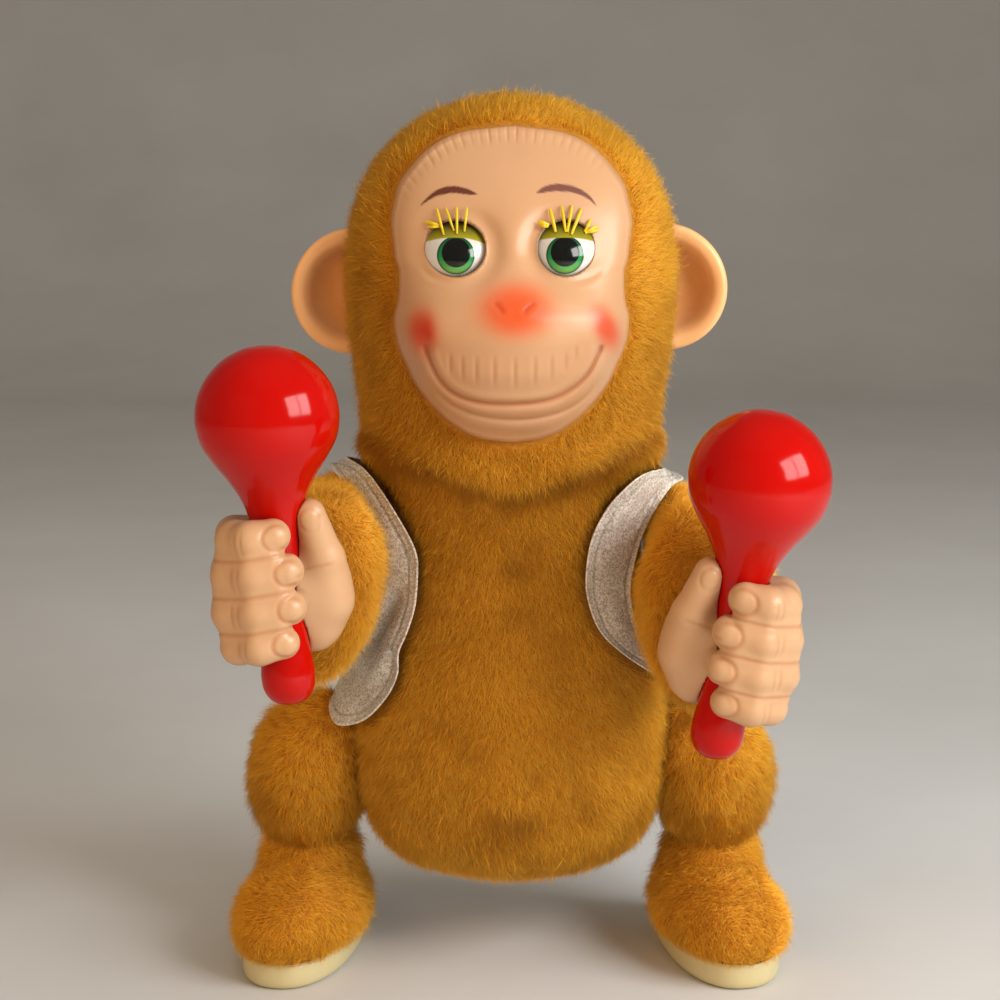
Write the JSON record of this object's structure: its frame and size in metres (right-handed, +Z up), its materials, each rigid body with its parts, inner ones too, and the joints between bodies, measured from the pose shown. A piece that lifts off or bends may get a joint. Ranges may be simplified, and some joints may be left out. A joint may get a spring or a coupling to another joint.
{
  "type": "wind-up toy monkey",
  "caption": "Wind-up plush monkey with a vinyl face and hands that shakes red maracas, in a silver vest, on flat tin soles; key at the back, spring movement in a tin body.",
  "frame": {"origin": "on the floor, under the middle of the toy's outline", "axes": "+Z up, the toy faces -Y, its right hand is at -X"},
  "size_m": [0.1498, 0.1498, 0.233],
  "materials": {
    "golden_plush": "dense golden-brown pile plush",
    "skin_vinyl": "semi-gloss peach vinyl",
    "eye_plastic": "glossy painted eye",
    "lash_plastic": "yellow plastic",
    "red_plastic": "glossy red",
    "silver_cloth": "silver glitter cloth",
    "cream_paint": "satin cream enamel",
    "bare_tin": "bare tinplate",
    "steel": "drawn steel",
    "brass": "stamped brass",
    "spring_steel": "blued spring steel",
    "head_core": "plain moulded core"
  },
  "bodies": {
    "toy_body": {"hood_plush": "golden_plush", "face_mask": "skin_vinyl", "right_ear": "skin_vinyl", "left_ear": "skin_vinyl", "right_eye": "eye_plastic", "left_eye": "eye_plastic", "right_eyelashes": "lash_plastic", "left_eyelashes": "lash_plastic", "skull_shell": "head_core", "neck_tube": "bare_tin", "torso_plush": "golden_plush", "vest": "silver_cloth", "tin_body_front": "bare_tin", "tin_body_back": "bare_tin", "right_shoulder_bush": "brass", "left_shoulder_bush": "brass", "right_thigh": "golden_plush", "left_thigh": "golden_plush", "right_boot": "golden_plush", "left_boot": "golden_plush", "right_sole": "cream_paint", "left_sole": "cream_paint", "right_leg_post": "steel", "left_leg_post": "steel", "front_plate": "bare_tin", "back_plate": "bare_tin", "plate_pillar_1": "steel", "plate_pillar_2": "steel", "plate_pillar_3": "steel", "plate_pillar_4": "steel", "movement_strap": "bare_tin", "mainspring": "spring_steel", "rocker_stud": "steel"},
    "right_arm": {"right_sleeve": "golden_plush", "right_hand": "skin_vinyl", "right_maraca_bulb": "red_plastic", "right_maraca_handle": "red_plastic", "right_arm_wire": "steel", "right_arm_lever": "steel"},
    "left_arm": {"left_sleeve": "golden_plush", "left_hand": "skin_vinyl", "left_maraca_bulb": "red_plastic", "left_maraca_handle": "red_plastic", "left_arm_wire": "steel", "left_arm_lever": "steel"},
    "right_rod": {"right_connecting_rod": "steel"},
    "left_rod": {"left_connecting_rod": "steel"},
    "rocker": {"rocker_beam": "steel"},
    "great_wheel": {"great_wheel": "brass"},
    "arbor": {"winding_arbor": "steel", "ratchet_wheel": "steel", "winding_key": "bare_tin"},
    "click": {"click": "steel"},
    "crank": {"crank_pinion_shaft": "steel", "crank_gear": "brass", "crank_disc": "steel"},
    "governor": {"governor_pinion_shaft": "steel", "escape_wheel": "brass"},
    "verge": {"verge": "steel"}
  },
  "joints": [
    {"name": "right_arm_swing", "type": "hinge", "parent": "toy_body", "child": "right_arm", "pos_m": [-0.044, 0.013, 0.118], "axis": [-1, 0, 0], "range_deg": [-18, 6]},
    {"name": "left_arm_swing", "type": "hinge", "parent": "toy_body", "child": "left_arm", "pos_m": [0.044, 0.013, 0.118], "axis": [-1, 0, 0], "range_deg": [-6, 18]},
    {"name": "right_rod_pivot", "type": "hinge", "parent": "right_arm", "child": "right_rod", "pos_m": [-0.0197, -0.00112, 0.11948], "axis": [-1, 0, 0], "range_deg": [-6, 18]},
    {"name": "left_rod_pivot", "type": "hinge", "parent": "left_arm", "child": "left_rod", "pos_m": [0.0197, -0.00112, 0.11652], "axis": [-1, 0, 0], "range_deg": [-18, 6]},
    {"name": "rocker_tilt", "type": "hinge", "parent": "toy_body", "child": "rocker", "pos_m": [0, -0.00112, 0.105], "axis": [0, 1, 0], "range_deg": [-13, 4.4]},
    {"name": "great_wheel_spin", "type": "hinge", "parent": "toy_body", "child": "great_wheel", "pos_m": [0, 0.00925, 0.07], "axis": [0, 1, 0], "continuous": true},
    {"name": "crank_spin", "type": "hinge", "parent": "toy_body", "child": "crank", "pos_m": [0, 0.013, 0.09], "axis": [0, 1, 0], "continuous": true},
    {"name": "governor_spin", "type": "hinge", "parent": "toy_body", "child": "governor", "pos_m": [0.01386, 0.013, 0.098], "axis": [0, 1, 0], "continuous": true},
    {"name": "key_wind", "type": "hinge", "parent": "great_wheel", "child": "arbor", "pos_m": [0, 0.033, 0.07], "axis": [0, 1, 0], "continuous": true},
    {"name": "click_lift", "type": "hinge", "parent": "great_wheel", "child": "click", "pos_m": [-0.0105, 0.00715, 0.073], "axis": [0, -1, 0], "range_deg": [0, 12]},
    {"name": "verge_rock", "type": "hinge", "parent": "toy_body", "child": "verge", "pos_m": [0.00502, 0.008, 0.10684], "axis": [0, 1, 0], "range_deg": [-6, 6]}
  ],
  "couplings": [
    {"joint": "left_arm_swing", "follows": "right_arm_swing", "ratio": -1},
    {"joint": "right_rod_pivot", "follows": "right_arm_swing", "ratio": -1},
    {"joint": "left_rod_pivot", "follows": "right_arm_swing", "ratio": 1},
    {"joint": "rocker_tilt", "follows": "right_arm_swing", "ratio": 0.72081},
    {"joint": "crank_spin", "follows": "great_wheel_spin", "ratio": -3},
    {"joint": "governor_spin", "follows": "great_wheel_spin", "ratio": 12}
  ]
}
